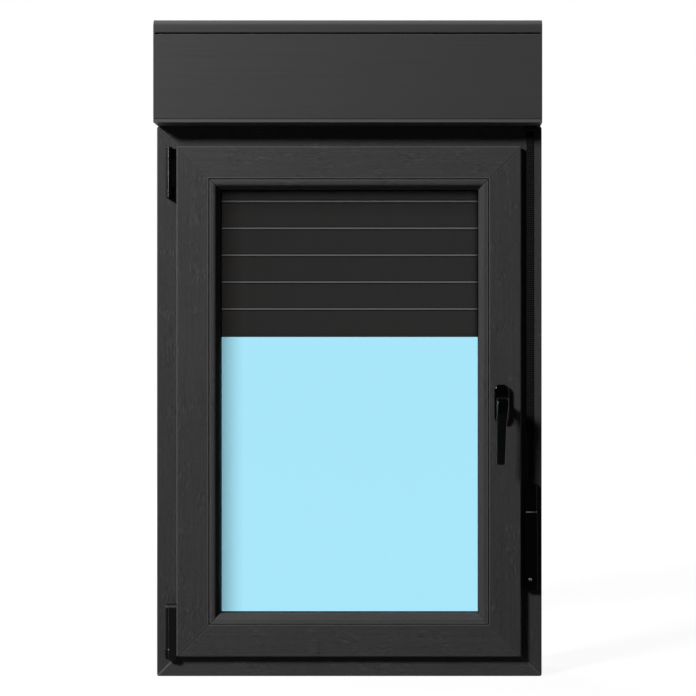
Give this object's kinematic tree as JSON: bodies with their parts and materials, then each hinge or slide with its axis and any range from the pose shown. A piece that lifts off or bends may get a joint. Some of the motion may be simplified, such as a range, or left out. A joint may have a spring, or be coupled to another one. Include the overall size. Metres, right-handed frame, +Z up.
{
  "type": "tilt and turn window with roller shutter box",
  "caption": "Grey framed tilt and turn window with double glazing, a turning lever handle, a roller shutter box on top and a lifting strap with winder on the right jamb.",
  "frame": {"origin": "middle of the outer frame's bottom face", "axes": "+X to the right seen from the room, +Y from the room to outdoors, +Z up"},
  "size_m": [0.7, 0.186, 1.185],
  "materials": {
    "grey_foil": "satin foil with fine grain",
    "box_grey": "satin foil",
    "guide_grey": "satin foil",
    "grey_plastic": "satin",
    "slat_grey": "matt",
    "glass": "clear, light blue",
    "seal_rubber": "matt",
    "spacer_metal": "dark",
    "hinge_black": "satin",
    "steel": "dark",
    "handle_black": "gloss",
    "winder_black": "satin",
    "strap_webbing": "ribbed webbing"
  },
  "bodies": {
    "window": {"frame_sill": "grey_foil", "frame_head": "grey_foil", "frame_jamb_left": "grey_foil", "frame_jamb_right": "grey_foil", "sash_bottom_rail": "grey_foil", "sash_top_rail": "grey_foil", "sash_stile_left": "grey_foil", "sash_stile_right": "grey_foil", "bead_bottom": "grey_foil", "bead_top": "grey_foil", "bead_left": "grey_foil", "bead_right": "grey_foil", "glass_inner_pane": "glass", "glass_outer_pane": "glass", "glazing_seal_room": "seal_rubber", "glazing_seal_outdoors": "seal_rubber", "sash_seal": "seal_rubber", "frame_seal": "seal_rubber", "box_room_panel": "box_grey", "box_top_panel": "box_grey", "box_outdoor_panel": "box_grey", "box_underside_panel": "box_grey", "box_end_cap_left": "box_grey", "box_end_cap_right": "box_grey", "shutter_guide_left": "guide_grey", "shutter_guide_right": "guide_grey", "shutter_bottom_bar": "slat_grey", "shutter_slats": "slat_grey", "top_hinge_frame_leaf": "hinge_black", "top_hinge_sash_leaf": "hinge_black", "bottom_hinge_frame_leaf": "hinge_black", "bottom_hinge_sash_leaf": "hinge_black", "top_hinge_pin": "steel", "bottom_hinge_pin": "steel", "strap_guide": "winder_black", "winder_plate": "winder_black", "winder_hood": "winder_black", "glass_spacer": "spacer_metal", "shutter_stops": "winder_black", "outlet_caps": "grey_plastic", "lift_strap": "strap_webbing", "handle_rosette": "handle_black"},
    "handle": {"handle_lever": "handle_black"}
  },
  "joints": [
    {"name": "handle_turn", "type": "hinge", "parent": "window", "child": "handle", "pos_m": [0.27625, -0.063, 0.496], "axis": [0, 1, 0], "range_deg": [0, 180]}
  ]
}
